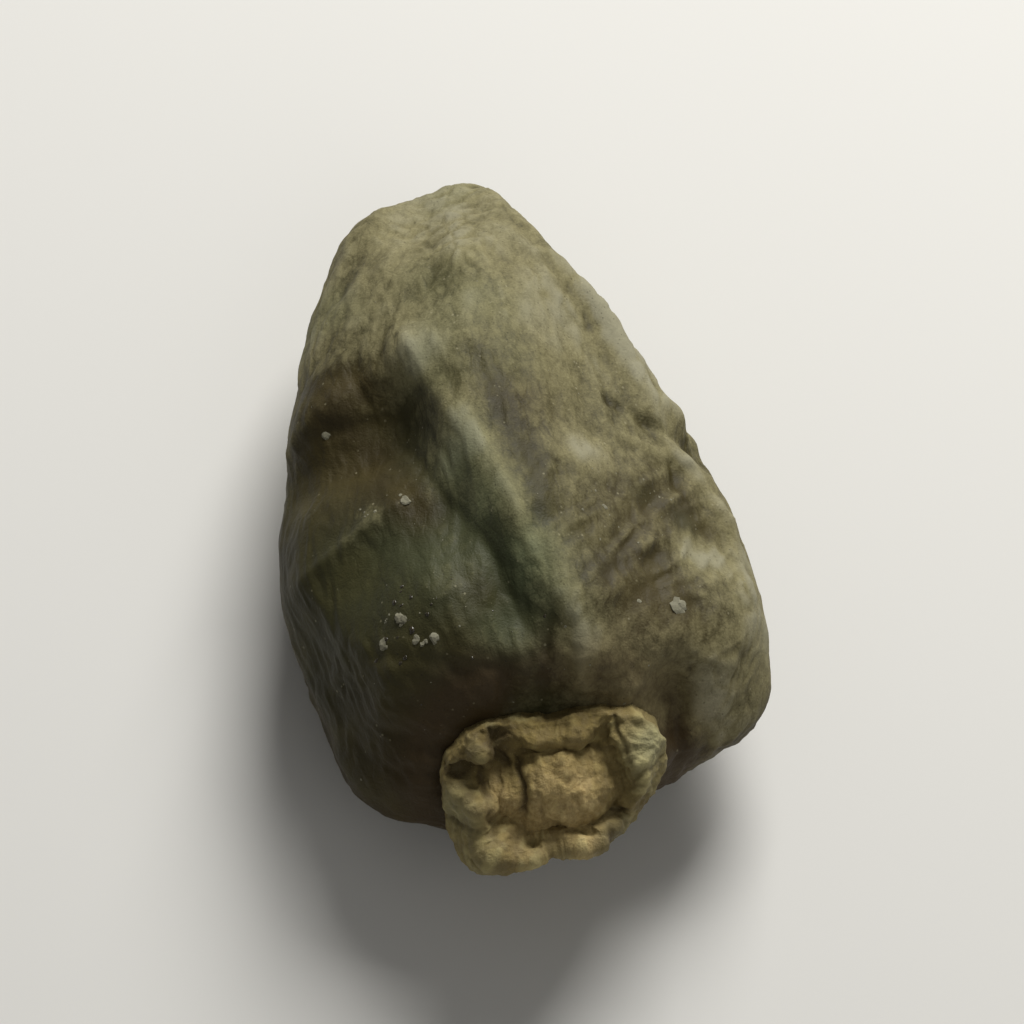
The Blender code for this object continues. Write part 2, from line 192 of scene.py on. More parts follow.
# The skin that gathers round the receptacle's seat, whose own frame is across, towards the face, and
# out of the base.
SEAT_PLACE = Vector((0.00028, -0.01218, 0.00699))
SEAT_TILT = math.radians(36)
SEAT_OUT = Vector((0, -math.cos(SEAT_TILT), math.sin(SEAT_TILT)))
SEAT_UP = SEAT_OUT.cross(Vector((1, 0, 0)))
GATHER_RADIUS, GATHER_REACH, GATHER_HEIGHT = 0.0048, 0.0016, 0.00020
GATHER_LOWEST, GATHER_FULL = -0.0045, -0.0015
GATHER_FOLDS, GATHER_SLICE, GATHER_SHARPNESS = 3.6, 0.3, 2.4
SETTLED_HEIGHT = 0.0009

# The film of dust: its cover in the middle, what the apex has more and the base less, its clouds as
# size and weight, and how much more lies on what stands out. The terms for creases, the net, pocks, the
# seat and the left flank take dust away as painted shade, so what is sunk or steep is darker.
DUST_MIDDLE, DUST_AT_APEX, DUST_AT_BASE = 0.38, 0.26, -0.12
DUST_CLOUDS = ((0.0040, 0.10), (0.0012, 0.09))
DUST_ON_FOLD, DUST_ON_FINE, DUST_ON_CREST, DUST_ON_CRINKLE = 0.10, 0.05, 0.20, 0.22
PAINTED_SHADE_IN_CREASE, PAINTED_SHADE_IN_NET, PAINTED_SHADE_BY_SEAT, PAINTED_SHADE_IN_POCK, PAINTED_SHADE_ON_FLANK = -0.34, -0.17, -0.20, -0.40, -0.34

# Green clouds, which fade out towards the right side, and brown painted shade on the base under the nut.
GREEN_CLOUD_SIZE, GREEN_CLOUD_SHIFT, GREEN_CLOUD = 0.0048, Vector((5, 2, 8)), 0.25
GREEN_FADES, GREEN_ENDS = -0.001, 0.004
PAINTED_SHADE_UNDER = 0.45

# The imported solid's facets: how close points weld, how far two triangles may differ from one square,
# and how often the squares are halved.
WELD_REACH, SQUARE_ANGLE, HALVINGS = 1e-6, math.radians(50), 2

# The vector noise that bends the folds is drawn anew each run unless it has a seed.
BEND_SEED = 2
BEND_SIZE, BEND = 0.55, 0.75
noise.seed_set(BEND_SEED)


def bell(distance, reach):
    """1 at distance 0, falling smoothly away over the reach."""
    return math.exp(-((distance / reach) ** 2))


def ramp(value, start, end):
    """0 before start, 1 after end, and smooth between them."""
    share = min(1.0, max(0.0, (value - start) / (end - start)))
    return share * share * (3 - 2 * share)


def fold(place, sharpness=2.3):
    """Folds with sharp crests: about 1 on a crest and -1 in the flat between two."""
    bend = noise.noise_vector(place * BEND_SIZE) * BEND
    return 1 - abs(noise.noise(place + bend)) * sharpness


def on_face(share_place):
    """A place on the nut seen from above, from shares of its half width and half length."""
    return nut_middle.xy + Vector((share_place[0] * HALF_WIDTH, share_place[1] * HALF_LENGTH))


def beside_line(place, start, end):
    """How far a place lies beyond a line's ends, and how far to its side."""
    start = on_face(start)
    run = on_face(end) - start
    way = run.normalized()
    off = place - start
    along = off.dot(way)
    return max(0.0, -along, along - run.length), off.dot(Vector((way.y, -way.x)))


def seat_place(point):
    """A point in the seat's own frame."""
    off = point - SEAT_PLACE
    return Vector((off.x, off.dot(SEAT_UP), off.dot(SEAT_OUT)))


def line_relief(point, face):
    """The height of the sharp lines at a point, and its shares of a crest and of a crease."""
    height = crest = crease = 0.0
    wandered = point.xy + noise.noise_vector(point / LINE_WANDER_SIZE).xy * LINE_WANDER
    strength = LINE_STRENGTH + LINE_SWING * noise.noise(point / LINE_SWING_SIZE)
    for start, end, rise, reach in SKIN_LINES:
        beyond, to_side = beside_line(wandered, start, end)
        edge = bell(to_side, reach) * bell(beyond, LINE_TAPER) * face * strength
        height += rise * edge
        if rise > 0:
            crest = max(crest, edge)
        else:
            crease = max(crease, edge)
    return height, crest, crease


def patch_tones(point, face):
    """What the patches of the face add to each tone."""
    totals = [0.0] * 4
    for place, reach, tones in FACE_PATCHES:
        share = bell((point.xy - on_face(place)).length, reach) * face
        totals = [total + share * tone for total, tone in zip(totals, tones)]
    return totals


def skin_relief(point, normal):
    """How far the skin stands out, and its tones: dust, green, brown with painted shade, and oil, each from 0
    to 1; the dust is also thinned as painted shade in creases and on the left flank.
    """
    face = ramp(normal.z, FACE_STARTS, FACE_FULL)
    height, crest, crease = line_relief(point, face)
    patches = patch_tones(point, face)
    calm = 1 - OIL_SMOOTHS * min(1.0, patches[3])

    long_fold = fold(Vector((point.x / FOLD_ACROSS, point.y / FOLD_ALONG, point.z / FOLD_ACROSS)))
    long_fold_cloud = ramp(noise.noise(point / FOLD_PATCH_SIZE), -0.3, 0.4)
    long_fold *= FOLD_WEAKEST + (1 - FOLD_WEAKEST) * long_fold_cloud
    fine = fold(Vector((point.x / FINE_ACROSS, point.y / FINE_ALONG, point.z / FINE_ACROSS)))
    height += (FOLD_HEIGHT * long_fold + FINE_HEIGHT * fine) * calm

    bent = point + noise.noise_vector(point / NET_BEND_SIZE) * NET_BEND
    distances, _ = noise.voronoi(Vector((bent.x / NET_ACROSS, bent.y / NET_ALONG, bent.z / NET_ACROSS)))
    netted = ramp(noise.noise(point / NET_PATCH_SIZE + NET_PATCH_SHIFT), -0.25, 0.35)
    net = bell(distances[1] - distances[0], NET_WIDTH) * netted
    height -= NET_DEPTH * net * calm

    crinkled = bell((point.xy - on_face(CRINKLE_PLACE)).length, CRINKLE_REACH) * face
    crinkle = crinkled * fold(Vector((
        point.xy.dot(CRINKLE_SIDE) / CRINKLE_ACROSS, point.xy.dot(CRINKLE_WAY) / CRINKLE_ALONG,
        CRINKLE_SLICE)), CRINKLE_SHARPNESS)
    height += CRINKLE_HEIGHT * crinkle

    distances, centres = noise.voronoi(point / POCK_SPACING)
    chosen = ramp(noise.noise(centres[0] * POCK_CHOICE), 0.0, 0.3)
    pock = bell(distances[0] * POCK_SPACING, POCK_REACH) * chosen
    height -= POCK_DEPTH * pock * calm

    local = seat_place(point)
    turn = math.atan2(local.y, local.x)
    gather = fold(Vector((math.cos(turn), math.sin(turn), GATHER_SLICE)) * GATHER_FOLDS, GATHER_SHARPNESS)
    gathered = bell(local.xy.length - GATHER_RADIUS, GATHER_REACH) * ramp(local.z, GATHER_LOWEST, GATHER_FULL)
    height += GATHER_HEIGHT * gather * gathered

    along = (point.y - nut_middle.y) / HALF_LENGTH
    # Painted shade: the lower left flank, which faces away from the lamps, is darkened by taking dust away.
    shaded_flank = ramp(-normal.x, 0.1, 0.8) * ramp(-along, -0.4, 0.3)
    dust = DUST_MIDDLE + DUST_AT_APEX * ramp(along, -0.2, 0.6) + DUST_AT_BASE * ramp(-along, 0.3, 0.9)
    dust += sum(weight * noise.noise(point / size) for size, weight in DUST_CLOUDS)
    dust += DUST_ON_FOLD * long_fold + DUST_ON_FINE * fine + DUST_ON_CREST * crest + DUST_ON_CRINKLE * crinkle
    # Painted shade: less dust in creases, in the net, in pocks and round the seat.
    dust += PAINTED_SHADE_IN_CREASE * crease + PAINTED_SHADE_IN_NET * net + PAINTED_SHADE_BY_SEAT * gathered + PAINTED_SHADE_IN_POCK * pock
    dust += PAINTED_SHADE_ON_FLANK * shaded_flank
    green = GREEN_CLOUD * ramp(noise.noise(point / GREEN_CLOUD_SIZE + GREEN_CLOUD_SHIFT), 0, 0.5)
    green *= 1 - ramp(point.x, GREEN_FADES, GREEN_ENDS)
    # Painted shade: brown round the seat and on the underside towards the base.
    brown_and_shade = gathered + PAINTED_SHADE_UNDER * (1 - face) * ramp(-along, 0.2, 0.9)
    tones = (total + patch for total, patch in zip((dust, green, brown_and_shade, 0.0), patches))
    return height * ramp(point.z, 0.0, SETTLED_HEIGHT), [min(1.0, max(0.0, tone)) for tone in tones]


def shown(name, mesh):
    """A new object in the scene."""
    piece = bpy.data.objects.new(name, mesh)
    bpy.context.scene.collection.objects.link(piece)
    return piece


def keep_modified(piece):
    """Gives the piece the mesh that its modifiers make, and clears them."""
    graph = bpy.context.evaluated_depsgraph_get()
    made = bpy.data.meshes.new_from_object(piece.evaluated_get(graph))
    piece.modifiers.clear()
    piece.data = made


def rounded_copy(solid, name, levels):
    """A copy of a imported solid, its facets joined to squares and rounded off."""
    bm = bmesh.new()
    bm.from_mesh(solid.data)
    bmesh.ops.remove_doubles(bm, verts=bm.verts[:], dist=WELD_REACH)
    bmesh.ops.join_triangles(
        bm, faces=bm.faces[:], angle_face_threshold=SQUARE_ANGLE, angle_shape_threshold=SQUARE_ANGLE)
    mesh = bpy.data.meshes.new(name)
    bm.to_mesh(mesh)
    bm.free()
    piece = shown(name, mesh)
    rounding = piece.modifiers.new("Rounding", "SUBSURF")
    rounding.levels = rounding.render_levels = levels
    keep_modified(piece)
    return piece


def push_out(piece, relief, tone_name):
    """Moves each point of a piece along its normal, never below the table, and writes its tones."""
    mesh = piece.data
    mesh.attributes.new(tone_name, "FLOAT_COLOR", "POINT")
    normals = [vert.normal.copy() for vert in mesh.vertices]
    tones = []
    for vert, normal in zip(mesh.vertices, normals):
        height, tone = relief(vert.co, normal)
        tones.extend(tone)
        vert.co += normal * height
        vert.co.z = max(0.0, vert.co.z)
    mesh.attributes[tone_name].data.foreach_set("color", tones)
    mesh.shade_smooth()
    mesh.update()


def finish_piece(piece, material):
    """A piece's material and its body."""
    piece.data.materials.clear()
    piece.data.materials.append(material)
    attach(piece, "root")


class Recipe:
    """A material's nodes, laid from coordinates and noises to one shader."""

    def __init__(self, name):
        self.material = bpy.data.materials.new(name)
        self.material.use_nodes = True
        self.tree = self.material.node_tree
        self.shader = self.tree.nodes["Principled BSDF"]
        self.place = self.node("ShaderNodeTexCoord").outputs["Object"]

    def node(self, kind, **settings):
        made = self.tree.nodes.new(kind)
        for key, value in settings.items():
            setattr(made, key, value)
        return made

    def join(self, value, socket):
        """Links a socket, or sets a plain value."""
        if isinstance(value, bpy.types.NodeSocket):
            self.tree.links.new(value, socket)
        else:
            socket.default_value = value

    def stretch(self, scale):
        made = self.node("ShaderNodeMapping")
        self.join(self.place, made.inputs["Vector"])
        made.inputs["Scale"].default_value = scale
        return made.outputs["Vector"]

    def clouds(self, size, detail=4.0, roughness=0.55, place=None):
        """Soft noise from 0 to 1, with blotches of about the given size in metres."""
        made = self.node("ShaderNodeTexNoise")
        self.join(place or self.place, made.inputs["Vector"])
        made.inputs["Scale"].default_value = 1 / size
        made.inputs["Detail"].default_value = detail
        made.inputs["Roughness"].default_value = roughness
        return made.outputs["Fac"]

    def cells(self, size, feature="F1", place=None):
        """Cells of about the given size in metres."""
        made = self.node("ShaderNodeTexVoronoi", feature=feature)
        self.join(place or self.place, made.inputs["Vector"])
        made.inputs["Scale"].default_value = 1 / size
        return made.outputs["Distance"]

    def warped(self, place, size, shift):
        """Places pushed this way and that by a noise."""
        push = self.node("ShaderNodeTexNoise")
        self.join(self.place, push.inputs["Vector"])
        push.inputs["Scale"].default_value = 1 / size
        push.inputs["Detail"].default_value = 2.0
        moved = self.node("ShaderNodeVectorMath", operation="MULTIPLY_ADD")
        self.join(push.outputs["Color"], moved.inputs[0])
        moved.inputs[1].default_value = (shift, shift, shift)
        self.join(place, moved.inputs[2])
        return moved.outputs["Vector"]

    def between(self, value, start, end, low=0.0, high=1.0):
        """The value's way from start to end, as a smooth share from low to high."""
        made = self.node("ShaderNodeMapRange", interpolation_type="SMOOTHSTEP")
        for socket, given in zip(made.inputs, (value, start, end, low, high)):
            self.join(given, socket)
        return made.outputs["Result"]

    def sum(self, *terms):
        """Adds up the terms, each a socket, a number or a pair of socket and weight."""
        total = None
        for term in terms:
            if isinstance(term, tuple):
                term = self.times(*term)
            total = term if total is None else self.maths("ADD", total, term)
        return total

    def times(self, first, second):
        return self.maths("MULTIPLY", first, second)

    def maths(self, operation, first, second):
        made = self.node("ShaderNodeMath", operation=operation)
        self.join(first, made.inputs[0])
        self.join(second, made.inputs[1])
        return made.outputs["Value"]

    def blend(self, share, first, second):
        """One colour over another, by a share from 0 to 1."""
        made = self.node("ShaderNodeMix", data_type="RGBA")
        self.join(share, made.inputs["Factor"])
        for socket, colour in ((made.inputs[6], first), (made.inputs[7], second)):
            self.join(colour if isinstance(colour, bpy.types.NodeSocket) else (*colour, 1.0), socket)
        return made.outputs[2]

    def tones(self, name):
        """The four tones written on a piece's points."""
        read = self.node("ShaderNodeAttribute", attribute_name=name)
        split = self.node("ShaderNodeSeparateColor")
        self.join(read.outputs["Color"], split.inputs["Color"])
        return [*split.outputs, read.outputs["Alpha"]]

    def bump(self, *layers):
        """Bumps on each other: height, depth in metres and strength."""
        normal = None
        for height, depth, strength in layers:
            made = self.node("ShaderNodeBump")
            self.join(height, made.inputs["Height"])
            made.inputs["Distance"].default_value = depth
            made.inputs["Strength"].default_value = strength
            if normal is not None:
                self.join(normal, made.inputs["Normal"])
            normal = made.outputs["Normal"]
        self.join(normal, self.shader.inputs["Normal"])


# Bare skin, the film of dust that covers it, the film's thickest parts, and specks and pores. The brown
# pair tint the brown patches and the painted shade round the seat and the base.
BARE_DARK, BARE_LIGHT = (0.026, 0.021, 0.004), (0.049, 0.040, 0.009)
BARE_GREEN, BARE_BROWN_SHADE = (0.053, 0.064, 0.030), (0.050, 0.033, 0.013)
DUST_DARK, DUST_LIGHT = (0.172, 0.153, 0.076), (0.268, 0.241, 0.128)
DUST_THICK, DUST_THICK_SHARE = (0.250, 0.243, 0.185), 0.60
DUST_GREEN, DUST_BROWN_SHADE, DUST_TINT_SHARE = (0.152, 0.182, 0.092), (0.165, 0.126, 0.058), 0.6
PORE_COLOUR, PORE_SHARE = (0.016, 0.013, 0.006), 0.45
SPECK_COLOUR, SPECK_SHARE = (0.36, 0.33, 0.21), 0.35
FILM_SIZE, BLOTCH_SIZE, POWDER_SIZE, SCUFF_SIZE = 0.00060, 0.0024, 0.00009, 0.00040
PLATE_SIZE, PLATE_WARP_SIZE, PLATE_WARP = 0.00046, 0.0007, 0.00050
SPECK_SIZE, SPECK_CLOUD_SIZE, PORE_SIZE = 0.00036, 0.0011, 0.00030


def shell_material():
    shell = Recipe("marking_nut_shell")
    dust, green, brown_and_shade, oil = shell.tones("shell_tones")
    film = shell.clouds(FILM_SIZE, detail=8.0, roughness=0.70)
    blotch = shell.clouds(BLOTCH_SIZE)
    powder = shell.clouds(POWDER_SIZE, detail=2.0)
    scuff = shell.clouds(SCUFF_SIZE, detail=3.0, place=shell.stretch((1.0, 0.16, 1.0)))
    plate_place = shell.warped(shell.stretch((1.0, 0.45, 1.0)), PLATE_WARP_SIZE, PLATE_WARP)
    plate = shell.between(shell.cells(PLATE_SIZE, "DISTANCE_TO_EDGE", place=plate_place), 0.0, 0.22)
    speck = shell.between(shell.cells(SPECK_SIZE), 0.20, 0.10)
    speck = shell.times(speck, shell.between(shell.clouds(SPECK_CLOUD_SIZE), 0.54, 0.64))
    pore = shell.between(shell.cells(PORE_SIZE), 0.18, 0.06)

    cover = shell.sum(dust, (film, 0.66), (scuff, 0.18), (blotch, 0.18), (powder, 0.30), (plate, 0.10), -0.76)
    cover = shell.between(cover, 0.02, 0.95)
    bare = shell.blend(shell.between(blotch, 0.35, 0.70), BARE_DARK, BARE_LIGHT)
    bare = shell.blend(green, bare, BARE_GREEN)
    # Brown tint, partly painted shade round the seat and the base.
    bare = shell.blend(brown_and_shade, bare, BARE_BROWN_SHADE)
    dusty = shell.blend(powder, DUST_DARK, DUST_LIGHT)
    dusty = shell.blend(shell.between(dust, 0.60, 1.0, 0.0, DUST_THICK_SHARE), dusty, DUST_THICK)
    dusty = shell.blend(shell.times(green, DUST_TINT_SHARE), dusty, DUST_GREEN)
    dusty = shell.blend(shell.times(brown_and_shade, DUST_TINT_SHARE), dusty, DUST_BROWN_SHADE)
    colour = shell.blend(cover, bare, dusty)
    colour = shell.blend(shell.times(pore, PORE_SHARE), colour, PORE_COLOUR)
    colour = shell.blend(shell.times(speck, SPECK_SHARE), colour, SPECK_COLOUR)
    shell.join(colour, shell.shader.inputs["Base Color"])

    rough = shell.sum((cover, 0.26), (film, 0.16), (oil, -0.06), 0.50)
    shell.join(rough, shell.shader.inputs["Roughness"])
    shell.shader.inputs["Specular IOR Level"].default_value = 0.22
    shell.bump((plate, 0.000014, 0.5), (film, 0.00008, 0.5), (powder, 0.000026, 0.7))
    return shell.material


nut_shell = rounded_copy(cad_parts["nut_body"], "nut_shell", HALVINGS)
push_out(nut_shell, skin_relief, "shell_tones")
finish_piece(nut_shell, shell_material())
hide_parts("nut_body")


# ---- The receptacle --------------------------------------------------------------------------------
# The cup of flesh that the nut grew on, withered to a thick torn rim round its pith. It is dry, fibrous
# and crumbly, tan where the rim is torn and a warmer brown inside, with shade painted dark into its
# grooves, hollows and shadowed edges. It grew into the nut's base, so it is one closed skin that meets
# the shell all round.

# Blender remeshes the skin at a larger scale, where its welds and voxels work well.
CRUST_CELL = 0.000068
WORK_SCALE = 100
SOFTENING, SOFTENING_ROUNDS = 0.5, 8
ROOT_DEPTH = 0.00050

# The cup's half width and height, the share of them at which its rim runs, and where its pith ends.
CUP_HALF_WIDTH, CUP_HALF_HEIGHT = 0.0047, 0.0034
RIM_SHARE, RIM_REACH = 0.84, 0.22
PITH_ENDS, RIND_STARTS = 0.50, 0.66
FLESH_WANDER_SIZE, FLESH_WANDER = 0.0007, 0.20
STRAND_ACROSS, STRAND_ALONG, STRAND_HEIGHT = 0.00034, 0.0018, 0.000045
STRANDS_ROUND, STRAND_SHARPNESS = 8, 2.4
CRUMB_SIZE, CRUMB_HEIGHT, CRUMB_OCTAVES = 0.00070, 0.00009, 4
TORN_SIZE, TORN_HEIGHT, TORN_SHARPNESS = 0.00046, 0.00007, 2.0
GRIT_SIZE, GRIT_HEIGHT = 0.00020, 0.00003
# The corner that is torn outwards, in millimetres across and towards the face from the seat's middle.
TORN_CORNER, CORNER_REACH, CORNER_HEIGHT = (-3.30, -2.90), 1.1, 0.00055

# Grooves that split the pith and the rim, in the same millimetres: start, end, reach and depth.
GROOVES = (
    ((-1.42, 1.25), (-1.30, -0.75), 0.15, 0.26),
    ((-2.35, 3.20), (-1.95, 1.00), 0.26, 0.46),
    ((-1.30, 1.45), (2.50, 1.20), 0.13, 0.12),
    ((2.60, 2.90), (3.00, 1.20), 0.14, 0.14),
    ((-3.00, 0.80), (-2.80, -1.60), 0.16, 0.18),
    ((-2.20, -2.05), (-0.20, -1.95), 0.14, 0.07),
    ((0.10, -1.70), (2.70, -1.30), 0.14, 0.16),
    ((-4.80, 1.05), (-3.30, 0.95), 0.22, 0.44),
    ((0.50, 0.50), (1.05, -0.95), 0.10, 0.06),
    ((-0.70, 0.80), (-0.50, -1.10), 0.09, 0.05),
    ((-2.15, 0.50), (-2.00, -1.40), 0.09, 0.05),
    ((1.60, 0.60), (1.80, -0.60), 0.09, 0.05),
    ((2.10, -2.00), (1.90, -3.00), 0.14, 0.16),
    ((-0.40, -2.60), (-0.50, -3.60), 0.16, 0.20),
    ((-4.60, -1.30), (-3.40, -1.20), 0.14, 0.14),
    ((4.60, 0.40), (3.60, 0.50), 0.13, 0.10),
)
# The depth in millimetres at which a groove's painted shade is full.
GROOVE_FULL_SHADE_DEPTH = 0.30
# Swellings: place in the same millimetres, reach and height.
LOBES = (
    ((0.45, -0.20), 1.20, 0.16),
    ((-2.15, -0.45), 0.62, 0.42),
    ((2.40, -0.80), 0.70, 0.12),
    ((-4.00, -0.10), 0.60, 0.22),
    ((-3.10, 1.85), 0.42, 0.24),
    ((4.00, 1.30), 0.90, 0.20),
    ((-3.00, -2.60), 0.80, 0.10),
    ((1.60, -2.40), 0.80, 0.14),
    ((0.85, 2.10), 1.10, 0.14),
    ((-2.00, -1.60), 0.75, 0.42),
    ((-0.80, -2.00), 0.75, 0.50),
    ((0.60, -1.95), 0.75, 0.45),
    ((1.80, -1.60), 0.70, 0.34),
    ((-2.95, -0.40), 0.65, 0.34),
    ((-0.60, 1.10), 0.50, 0.30),
    ((0.50, 1.05), 0.50, 0.34),
    ((1.60, 0.95), 0.50, 0.30),
)
# Patches of the same: place, reach, and what each adds to pale skin, pink pith and dark hollow, which is
# painted shade.
FLESH_PATCHES = (
    ((-4.00, -0.60), 1.10, (0.80, 0.00, 0.00)),
    ((-2.90, -3.00), 1.20, (0.60, 0.00, 0.00)),
    ((0.60, -3.00), 1.10, (0.75, 0.00, 0.00)),
    ((2.40, -2.40), 0.90, (0.80, 0.00, 0.00)),
    ((4.00, 1.30), 1.20, (1.00, 0.00, 0.00)),
    ((3.90, -0.60), 0.70, (0.40, 0.00, 0.00)),
    ((-3.10, 1.85), 0.45, (0.35, 0.00, 0.00)),
    ((0.50, -0.30), 1.50, (0.00, 1.00, 0.00)),
    ((-2.15, -0.55), 0.85, (0.00, 1.00, 0.00)),
    ((-1.10, -1.60), 1.10, (0.00, 0.90, 0.00)),
    ((0.90, -1.70), 1.00, (0.00, 0.60, 0.00)),
    # Painted shade: the hollow entries that follow darken gaps under the nut's base, the rim's lower right
    # edges and clefts on the left.
    ((2.55, -0.20), 0.80, (0.00, 0.10, 0.15)),
    ((-3.70, 1.10), 0.55, (0.00, 0.00, 0.65)),
    ((-2.15, 2.30), 0.60, (0.00, 0.00, 0.65)),
    ((-2.60, 1.00), 0.45, (0.00, 0.00, 0.45)),
    ((-2.70, 2.10), 1.20, (0.00, 0.00, 0.36)),
    ((1.40, 2.60), 0.90, (0.00, 0.00, 0.24)),
    ((3.30, 2.60), 0.60, (0.00, 0.00, 0.40)),
    ((2.30, -2.30), 0.90, (0.00, 0.00, 0.46)),
    ((3.80, -1.40), 1.00, (0.00, 0.00, 0.50)),
    ((-1.00, -2.30), 0.70, (0.40, 0.00, -0.20)),
    ((-2.10, -2.70), 0.70, (-0.30, 0.00, 0.40)),
    ((-3.40, -0.10), 0.50, (-0.30, 0.00, 0.24)),
    ((0.20, 1.10), 1.10, (0.00, 0.10, -0.22)),
)


def crusted_copy(solid, name, cell):
    """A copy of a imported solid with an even, fine skin of squares."""
    mesh = solid.data.copy()
    mesh.name = name
    mesh.transform(Matrix.Scale(WORK_SCALE, 4))
    piece = shown(name, mesh)
    weld = piece.modifiers.new("Weld", "WELD")
    weld.merge_threshold = WELD_REACH * WORK_SCALE
    squares = piece.modifiers.new("Squares", "REMESH")
    squares.mode = "VOXEL"
    squares.voxel_size = cell * WORK_SCALE
    soften = piece.modifiers.new("Soften", "SMOOTH")
    soften.factor = SOFTENING
    soften.iterations = SOFTENING_ROUNDS
    keep_modified(piece)
    piece.data.transform(Matrix.Scale(1 / WORK_SCALE, 4))
    return piece


def grow_in(piece):
    """Lets the base of the flesh run a little way into the shell, so that no light passes between."""
    normals = [vert.normal.copy() for vert in piece.data.vertices]
    for vert, normal in zip(piece.data.vertices, normals):
        vert.co -= SEAT_OUT * ROOT_DEPTH * ramp(-normal.dot(SEAT_OUT), 0.1, 0.7)
    piece.data.update()


def from_segment(place, start, end):
    """How far a place is from a straight line between two points."""
    start = Vector(start)
    run = Vector(end) - start
    along = min(1.0, max(0.0, (place - start).dot(run) / run.length_squared))
    return (place - start - run * along).length


def crust_relief(point, normal):
    """How far the withered flesh stands out, and its tones: pale skin, pith, painted shade of hollows, and
    torn edge.
    """
    local = seat_place(point)
    place = local.xy * 1000 + noise.noise_vector(point / FLESH_WANDER_SIZE).xy * FLESH_WANDER
    share = math.hypot(local.x / CUP_HALF_WIDTH, local.y / CUP_HALF_HEIGHT)
    outward = ramp(normal.dot(SEAT_OUT), -0.2, 0.6)
    rim = bell(share - RIM_SHARE, RIM_REACH)

    groove_shade = height = 0.0
    for start, end, reach, depth in GROOVES:
        cut = bell(from_segment(place, start, end), reach) * outward
        # Painted shade: each groove darkens with its depth.
        groove_shade = max(groove_shade, cut * min(1.0, depth / GROOVE_FULL_SHADE_DEPTH))
        height -= cut * depth / 1000
    for middle, reach, rise in LOBES:
        height += bell((place - Vector(middle)).length, reach) * rise * outward / 1000
    pale, pith, hollow_shade = 0.0, 0.0, groove_shade
    for middle, reach, tones in FLESH_PATCHES:
        part = bell((place - Vector(middle)).length, reach) * (0.25 + 0.75 * outward)
        pale, pith, hollow_shade = pale + part * tones[0], pith + part * tones[1], hollow_shade + part * tones[2]

    turn = math.atan2(local.y, local.x)
    strand_depth = local.z / STRAND_ALONG
    strand_in = Vector((local.x / STRAND_ACROSS, local.y / STRAND_ALONG, strand_depth))
    strand_out = Vector((math.cos(turn) * STRANDS_ROUND, math.sin(turn) * STRANDS_ROUND, strand_depth))
    inner = 1 - ramp(share, PITH_ENDS, RIND_STARTS)
    strand = fold(strand_in, STRAND_SHARPNESS) * inner + fold(strand_out, STRAND_SHARPNESS) * (1 - inner)
    crumb = noise.turbulence(point / CRUMB_SIZE, CRUMB_OCTAVES, False)
    torn = fold(point / TORN_SIZE, TORN_SHARPNESS)
    height += CRUMB_HEIGHT * (crumb - 0.5) + STRAND_HEIGHT * strand + TORN_HEIGHT * torn * rim * outward
    height += GRIT_HEIGHT * noise.noise(point / GRIT_SIZE)
    height += CORNER_HEIGHT * bell((place - Vector(TORN_CORNER)).length, CORNER_REACH) * (0.6 + 0.4 * outward)
    edge = ramp(crumb + 0.35 * strand + 0.25 * torn, 0.40, 1.10) * (0.35 + 0.65 * rim)
    # Painted shade: darker between strands, in low crumbs and on sides that face away from the cup's outside.
    hollow_shade += 0.30 * ramp(-strand, 0.2, 1.0) + 0.20 * ramp(0.40 - crumb, 0.0, 0.3) + 0.22 * (1 - outward)
    return height, [min(1.0, max(0.0, tone)) for tone in (pale, pith, hollow_shade, edge)]


# Torn tan flesh, the paler skin on its outside, the pith, torn edges, the painted shade of hollows, and its
# grain.
TAN_DARK, TAN_LIGHT = (0.190, 0.138, 0.038), (0.280, 0.212, 0.068)
RIND_DARK, RIND_LIGHT = (0.236, 0.220, 0.106), (0.358, 0.333, 0.172)
PITH_DARK, PITH_LIGHT = (0.350, 0.250, 0.096), (0.520, 0.390, 0.168)
EDGE_COLOUR, EDGE_SHARE = (0.425, 0.372, 0.172), 0.50
HOLLOW_SHADE_COLOUR, HOLLOW_SHADE_SHARE = (0.048, 0.030, 0.008), 0.80
GRAIN_LIGHT, GRAIN_DARK, GRAIN_SHARE = (0.460, 0.380, 0.175), (0.090, 0.060, 0.018), 0.35
MOTTLE_SIZE, FIBRE_SIZE, GRAIN_SIZE = 0.00060, 0.00020, 0.00007


